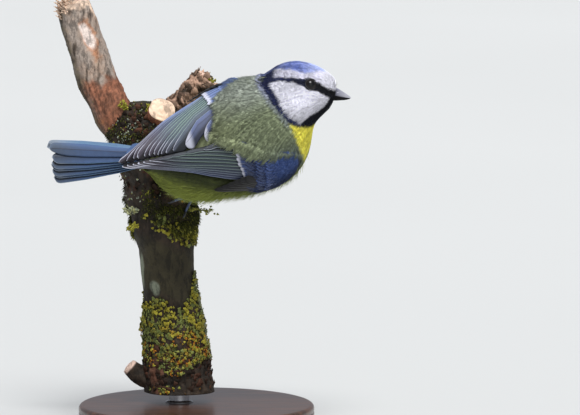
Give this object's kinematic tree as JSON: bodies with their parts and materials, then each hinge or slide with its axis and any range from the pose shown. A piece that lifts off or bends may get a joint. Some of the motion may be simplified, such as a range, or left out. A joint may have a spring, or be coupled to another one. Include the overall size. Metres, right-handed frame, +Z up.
{
  "type": "blue tit on a branch, museum model",
  "caption": "Small songbird with blue cap, white cheeks and folded wings, leaning off the side of an upright mossy branch that stands on a round wooden base.",
  "frame": {"origin": "middle of the stand base's underside, on the surface it stands on", "axes": "+Z up along the branch, +X the way the bird looks, -Y the side to which its back leans"},
  "size_m": [0.1147, 0.092, 0.1667],
  "materials": {
    "plumage_body": "matt",
    "plumage_head": "matt",
    "plumage_wing": "satin",
    "plumage_tail": "satin",
    "bill_upper": "satin",
    "bill_lower": "satin",
    "eye": "gloss",
    "leg": "satin",
    "claw": "satin",
    "bark": "rough",
    "cut_wood": "rough",
    "stand_wood": "satin",
    "stand_steel": "brushed"
  },
  "bodies": {
    "root": {"beak_lower": "bill_lower", "beak_upper": "bill_upper", "claw_left_1": "claw", "claw_left_2": "claw", "claw_left_3": "claw", "claw_left_4": "claw", "claw_right_1": "claw", "claw_right_2": "claw", "claw_right_3": "claw", "claw_right_4": "claw", "eye_left": "eye", "eye_right": "eye", "foot_left": "leg", "foot_right": "leg", "head": "plumage_head", "neck": "plumage_body", "perch_branch_left": "bark", "perch_stem": "bark", "perch_stub_cut": "cut_wood", "perch_stub_low": "bark", "perch_stub_right": "bark", "rump": "plumage_body", "stand_base": "stand_wood", "stand_rod": "stand_steel", "tail": "plumage_tail", "tarsus_left": "leg", "tarsus_right": "leg", "thigh_left": "plumage_body", "thigh_right": "plumage_body", "torso": "plumage_body", "wing_left": "plumage_wing", "wing_right": "plumage_wing"}
  },
  "joints": []
}
